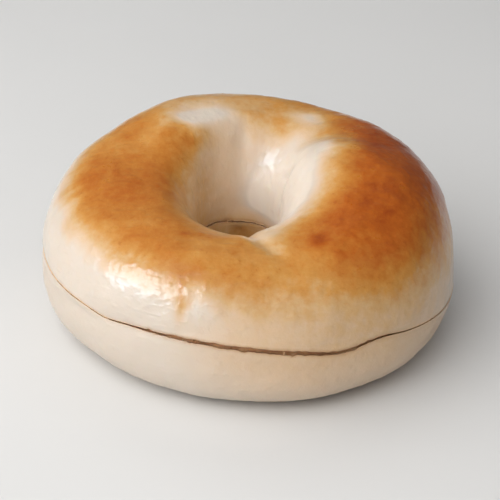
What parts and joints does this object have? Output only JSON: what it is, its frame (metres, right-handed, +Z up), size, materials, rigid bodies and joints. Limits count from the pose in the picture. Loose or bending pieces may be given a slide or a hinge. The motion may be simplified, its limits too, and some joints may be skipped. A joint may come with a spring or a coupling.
{
  "type": "bagel",
  "caption": "Plain ring-shaped bagel with a browned glossy top, sliced level right through and closed again, standing on its flat base.",
  "frame": {"origin": "on the surface that the bagel stands on, under the middle of its outline", "axes": "+Z up through the hole, +X to the right and -Y to the front of the shown view"},
  "size_m": [0.1084, 0.1026, 0.0478],
  "materials": {
    "pale_crust": "satin pale cream crust with a dry crumb face, stands in for baked dough",
    "browned_crust": "semi-gloss golden to chestnut brown crust that fades to cream low on the sides, stands in for baked dough"
  },
  "bodies": {
    "root": {"bottom_half": "pale_crust", "top_half": "browned_crust"}
  },
  "joints": []
}
